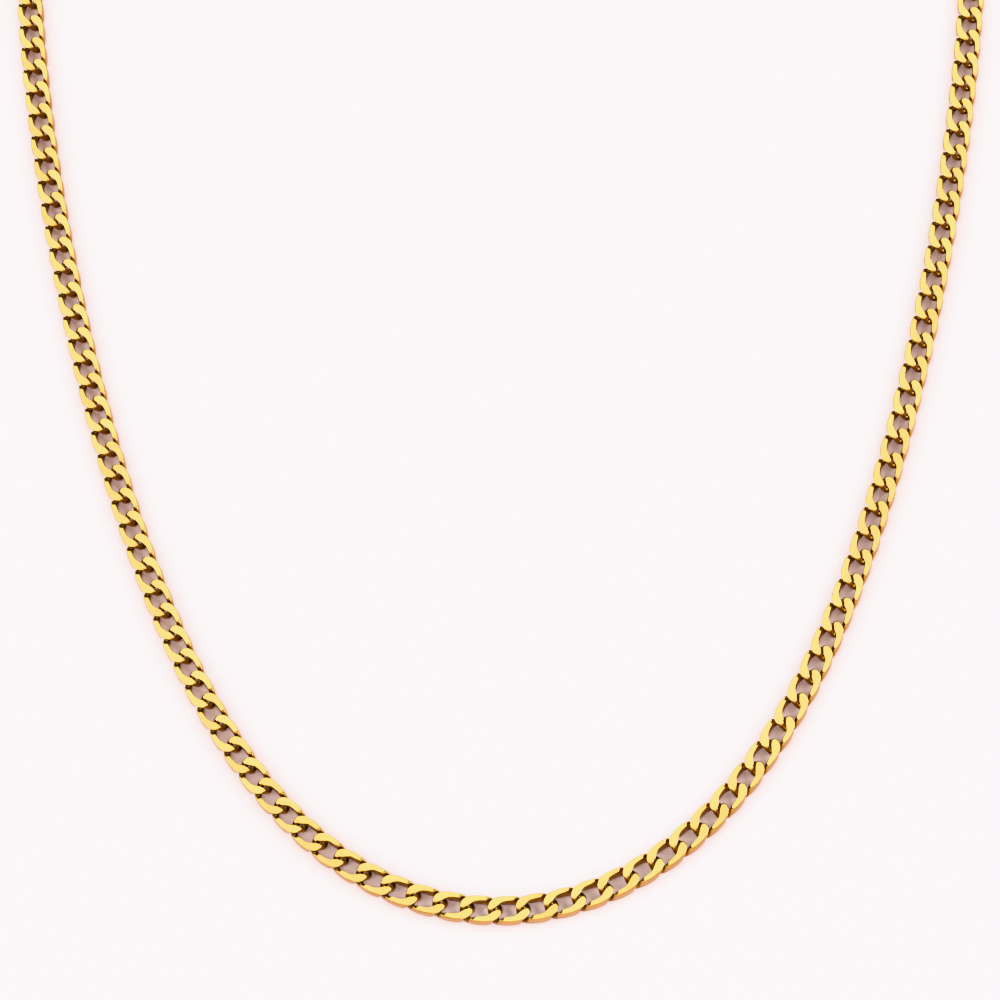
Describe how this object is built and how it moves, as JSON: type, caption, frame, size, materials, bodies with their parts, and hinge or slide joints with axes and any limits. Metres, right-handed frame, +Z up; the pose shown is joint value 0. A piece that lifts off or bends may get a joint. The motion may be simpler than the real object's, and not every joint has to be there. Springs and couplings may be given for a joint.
{
  "type": "chain necklace",
  "caption": "Flat curb chain necklace in polished gold, with a lobster clasp and a closed end ring, lying open on a table.",
  "frame": {"origin": "centre of the footprint on the surface that the necklace lies on", "axes": "+Z up from the surface; -Y towards the lowest point of the worn U; +Y towards the clasp; +X to the right seen from above"},
  "size_m": [0.1506, 0.2218, 0.0032],
  "materials": {
    "gold": "polished",
    "steel": "satin"
  },
  "bodies": {
    "run_0": {"links_0": "gold"},
    "run_1": {"links_1": "gold"},
    "run_2": {"links_2": "gold"},
    "run_3": {"links_3": "gold"},
    "run_4": {"links_4": "gold"},
    "run_5": {"links_5": "gold"},
    "run_6": {"links_6": "gold"},
    "run_7": {"links_7": "gold"},
    "run_8": {"links_8": "gold"},
    "run_9": {"links_9": "gold"},
    "run_10": {"links_10": "gold"},
    "run_11": {"links_11": "gold"},
    "run_12": {"links_12": "gold"},
    "run_13": {"links_13": "gold"},
    "run_14": {"links_14": "gold"},
    "run_15": {"links_15": "gold"},
    "run_16": {"links_16": "gold"},
    "run_17": {"links_17": "gold"},
    "run_18": {"links_18": "gold"},
    "run_19": {"links_19": "gold"},
    "run_20": {"links_20": "gold"},
    "run_21": {"links_21": "gold"},
    "run_22": {"links_22": "gold"},
    "run_23": {"links_23": "gold"},
    "run_24": {"links_24": "gold"},
    "run_25": {"links_25": "gold"},
    "run_26": {"links_26": "gold"},
    "run_27": {"links_27": "gold"},
    "run_28": {"links_28": "gold"},
    "run_29": {"links_29": "gold"},
    "run_30": {"links_30": "gold"},
    "run_31": {"links_31": "gold"},
    "run_32": {"links_32": "gold"},
    "run_33": {"links_33": "gold"},
    "run_34": {"links_34": "gold"},
    "run_35": {"links_35": "gold"},
    "run_36": {"links_36": "gold"},
    "run_37": {"links_37": "gold"},
    "run_38": {"links_38": "gold"},
    "run_39": {"links_39": "gold"},
    "run_40": {"links_40": "gold"},
    "run_41": {"links_41": "gold"},
    "run_42": {"links_42": "gold"},
    "run_43": {"links_43": "gold"},
    "run_44": {"links_44": "gold"},
    "run_45": {"links_45": "gold"},
    "run_46": {"links_46": "gold"},
    "end_ring": {"end_ring": "gold"},
    "jump_ring": {"jump_ring": "gold"},
    "clasp": {"clasp_body": "gold", "lever_pin": "steel", "lever_spring": "steel"},
    "clasp_lever": {"clasp_lever": "gold"}
  },
  "joints": [
    {"name": "drape_0", "type": "hinge", "parent": "run_1", "child": "run_0", "pos_m": [-0.03179, 0.10657, 0.00098], "axis": [-0.1181, 0.993, 0], "range_deg": [-9.28, 14.72]},
    {"name": "bend_1", "type": "hinge", "parent": "run_2", "child": "run_1", "pos_m": [-0.04335, 0.10406, 0.00095], "axis": [0, 0, 1], "range_deg": [-4.52, 12.48]},
    {"name": "drape_2", "type": "hinge", "parent": "run_3", "child": "run_2", "pos_m": [-0.05414, 0.09921, 0.00095], "axis": [0.53, -0.848, 0], "range_deg": [-12, 12]},
    {"name": "bend_3", "type": "hinge", "parent": "run_4", "child": "run_3", "pos_m": [-0.06305, 0.09148, 0.00095], "axis": [0, 0, -1], "range_deg": [-14.74, 2.26]},
    {"name": "drape_4", "type": "hinge", "parent": "run_5", "child": "run_4", "pos_m": [-0.06909, 0.08133, 0.00095], "axis": [-0.9247, 0.3807, 0], "range_deg": [-12, 12]},
    {"name": "bend_5", "type": "hinge", "parent": "run_6", "child": "run_5", "pos_m": [-0.07224, 0.06993, 0.00095], "axis": [0, 0, 1], "range_deg": [-5.1, 11.9]},
    {"name": "drape_6", "type": "hinge", "parent": "run_7", "child": "run_6", "pos_m": [-0.07329, 0.05813, 0.00095], "axis": [0.9996, -0.0271, 0], "range_deg": [-12, 12]},
    {"name": "bend_7", "type": "hinge", "parent": "run_8", "child": "run_7", "pos_m": [-0.07308, 0.04629, 0.00095], "axis": [0, 0, -1], "range_deg": [-9.69, 7.31]},
    {"name": "drape_8", "type": "hinge", "parent": "run_9", "child": "run_8", "pos_m": [-0.0721, 0.03448, 0.00095], "axis": [-0.9945, -0.105, 0], "range_deg": [-12, 12]},
    {"name": "bend_9", "type": "hinge", "parent": "run_10", "child": "run_9", "pos_m": [-0.07064, 0.02272, 0.00095], "axis": [0, 0, 1], "range_deg": [-7.91, 9.09]},
    {"name": "drape_10", "type": "hinge", "parent": "run_11", "child": "run_10", "pos_m": [-0.06881, 0.01101, 0.00095], "axis": [0.9858, 0.1678, 0], "range_deg": [-12, 12]},
    {"name": "bend_11", "type": "hinge", "parent": "run_12", "child": "run_11", "pos_m": [-0.06667, -0.00064, 0.00095], "axis": [0, 0, -1], "range_deg": [-8.98, 8.02]},
    {"name": "drape_12", "type": "hinge", "parent": "run_13", "child": "run_12", "pos_m": [-0.06424, -0.01224, 0.00095], "axis": [-0.976, -0.2179, 0], "range_deg": [-12, 12]},
    {"name": "bend_13", "type": "hinge", "parent": "run_14", "child": "run_13", "pos_m": [-0.0615, -0.02377, 0.00095], "axis": [0, 0, 1], "range_deg": [-7.96, 9.04]},
    {"name": "drape_14", "type": "hinge", "parent": "run_15", "child": "run_14", "pos_m": [-0.05844, -0.03522, 0.00095], "axis": [0.9619, 0.2733, 0], "range_deg": [-12, 12]},
    {"name": "bend_15", "type": "hinge", "parent": "run_16", "child": "run_15", "pos_m": [-0.05501, -0.04656, 0.00095], "axis": [0, 0, -1], "range_deg": [-9.28, 7.72]},
    {"name": "drape_16", "type": "hinge", "parent": "run_17", "child": "run_16", "pos_m": [-0.05111, -0.05775, 0.00095], "axis": [-0.9358, -0.3526, 0], "range_deg": [-12, 12]},
    {"name": "bend_17", "type": "hinge", "parent": "run_18", "child": "run_17", "pos_m": [-0.0466, -0.0687, 0.00095], "axis": [0, 0, 1], "range_deg": [-7.04, 9.96]},
    {"name": "drape_18", "type": "hinge", "parent": "run_19", "child": "run_18", "pos_m": [-0.04126, -0.07928, 0.00095], "axis": [0.8692, 0.4945, 0], "range_deg": [-12, 12]},
    {"name": "bend_19", "type": "hinge", "parent": "run_20", "child": "run_19", "pos_m": [-0.03478, -0.08919, 0.00095], "axis": [0, 0, -1], "range_deg": [-11.55, 5.45]},
    {"name": "drape_20", "type": "hinge", "parent": "run_21", "child": "run_20", "pos_m": [-0.02679, -0.09792, 0.00095], "axis": [-0.6662, -0.7458, 0], "range_deg": [-12, 12]},
    {"name": "bend_21", "type": "hinge", "parent": "run_22", "child": "run_21", "pos_m": [-0.01709, -0.10468, 0.00095], "axis": [0, 0, 1], "range_deg": [-3.04, 13.96]},
    {"name": "drape_22", "type": "hinge", "parent": "run_23", "child": "run_22", "pos_m": [-0.0059, -0.10844, 0.00095], "axis": [0.1647, 0.9863, 0], "range_deg": [-12, 12]},
    {"name": "drape_24", "type": "hinge", "parent": "run_23", "child": "run_24", "pos_m": [0.0059, -0.10844, 0.00095], "axis": [-0.1647, 0.9863, 0], "range_deg": [-12, 12]},
    {"name": "bend_25", "type": "hinge", "parent": "run_24", "child": "run_25", "pos_m": [0.01709, -0.10468, 0.00095], "axis": [0, 0, 1], "range_deg": [-13.96, 3.04]},
    {"name": "drape_26", "type": "hinge", "parent": "run_25", "child": "run_26", "pos_m": [0.02679, -0.09792, 0.00095], "axis": [0.6662, -0.7458, 0], "range_deg": [-12, 12]},
    {"name": "bend_27", "type": "hinge", "parent": "run_26", "child": "run_27", "pos_m": [0.03478, -0.08919, 0.00095], "axis": [0, 0, -1], "range_deg": [-5.45, 11.55]},
    {"name": "drape_28", "type": "hinge", "parent": "run_27", "child": "run_28", "pos_m": [0.04126, -0.07928, 0.00095], "axis": [-0.8692, 0.4945, 0], "range_deg": [-12, 12]},
    {"name": "bend_29", "type": "hinge", "parent": "run_28", "child": "run_29", "pos_m": [0.0466, -0.0687, 0.00095], "axis": [0, 0, 1], "range_deg": [-9.96, 7.04]},
    {"name": "drape_30", "type": "hinge", "parent": "run_29", "child": "run_30", "pos_m": [0.05111, -0.05775, 0.00095], "axis": [0.9358, -0.3526, 0], "range_deg": [-12, 12]},
    {"name": "bend_31", "type": "hinge", "parent": "run_30", "child": "run_31", "pos_m": [0.05501, -0.04656, 0.00095], "axis": [0, 0, -1], "range_deg": [-7.72, 9.28]},
    {"name": "drape_32", "type": "hinge", "parent": "run_31", "child": "run_32", "pos_m": [0.05844, -0.03522, 0.00095], "axis": [-0.9619, 0.2733, 0], "range_deg": [-12, 12]},
    {"name": "bend_33", "type": "hinge", "parent": "run_32", "child": "run_33", "pos_m": [0.0615, -0.02377, 0.00095], "axis": [0, 0, 1], "range_deg": [-9.04, 7.96]},
    {"name": "drape_34", "type": "hinge", "parent": "run_33", "child": "run_34", "pos_m": [0.06424, -0.01224, 0.00095], "axis": [0.976, -0.2179, 0], "range_deg": [-12, 12]},
    {"name": "bend_35", "type": "hinge", "parent": "run_34", "child": "run_35", "pos_m": [0.06667, -0.00064, 0.00095], "axis": [0, 0, -1], "range_deg": [-8.02, 8.98]},
    {"name": "drape_36", "type": "hinge", "parent": "run_35", "child": "run_36", "pos_m": [0.06881, 0.01101, 0.00095], "axis": [-0.9858, 0.1678, 0], "range_deg": [-12, 12]},
    {"name": "bend_37", "type": "hinge", "parent": "run_36", "child": "run_37", "pos_m": [0.07064, 0.02272, 0.00095], "axis": [0, 0, 1], "range_deg": [-9.09, 7.91]},
    {"name": "drape_38", "type": "hinge", "parent": "run_37", "child": "run_38", "pos_m": [0.0721, 0.03448, 0.00095], "axis": [0.9945, -0.105, 0], "range_deg": [-12, 12]},
    {"name": "bend_39", "type": "hinge", "parent": "run_38", "child": "run_39", "pos_m": [0.07308, 0.04629, 0.00095], "axis": [0, 0, -1], "range_deg": [-7.31, 9.69]},
    {"name": "drape_40", "type": "hinge", "parent": "run_39", "child": "run_40", "pos_m": [0.07329, 0.05813, 0.00095], "axis": [-0.9996, -0.0271, 0], "range_deg": [-12, 12]},
    {"name": "bend_41", "type": "hinge", "parent": "run_40", "child": "run_41", "pos_m": [0.07224, 0.06993, 0.00095], "axis": [0, 0, 1], "range_deg": [-11.9, 5.1]},
    {"name": "drape_42", "type": "hinge", "parent": "run_41", "child": "run_42", "pos_m": [0.06909, 0.08133, 0.00095], "axis": [0.9247, 0.3807, 0], "range_deg": [-12, 12]},
    {"name": "bend_43", "type": "hinge", "parent": "run_42", "child": "run_43", "pos_m": [0.06305, 0.09148, 0.00095], "axis": [0, 0, -1], "range_deg": [-2.26, 14.74]},
    {"name": "drape_44", "type": "hinge", "parent": "run_43", "child": "run_44", "pos_m": [0.05414, 0.09921, 0.00095], "axis": [-0.53, -0.848, 0], "range_deg": [-12, 12]},
    {"name": "bend_45", "type": "hinge", "parent": "run_44", "child": "run_45", "pos_m": [0.04335, 0.10406, 0.00095], "axis": [0, 0, 1], "range_deg": [-12.48, 4.52]},
    {"name": "drape_46", "type": "hinge", "parent": "run_45", "child": "run_46", "pos_m": [0.03179, 0.10657, 0.00098], "axis": [0.1181, 0.993, 0], "range_deg": [-14.72, 9.28]},
    {"name": "end_ring_swing", "type": "hinge", "parent": "run_0", "child": "end_ring", "pos_m": [-0.02, 0.10758, 0.00155], "axis": [0, 0, 1], "range_deg": [-12, 12]},
    {"name": "jump_ring_swing", "type": "hinge", "parent": "run_46", "child": "jump_ring", "pos_m": [0.02, 0.10758, 0.00155], "axis": [0, 0, 1], "range_deg": [-10, 10]},
    {"name": "clasp_swing", "type": "hinge", "parent": "jump_ring", "child": "clasp", "pos_m": [0.01717, 0.10764, 0.0016], "axis": [0, 0, 1], "range_deg": [-10, 10]},
    {"name": "lever", "type": "hinge", "parent": "clasp", "child": "clasp_lever", "pos_m": [0.01207, 0.10668, 0.0016], "axis": [0, 0, -1], "range_deg": [0, 36], "stiffness_Nm_per_rad": 0.0005, "springref_deg": -17.19}
  ]
}
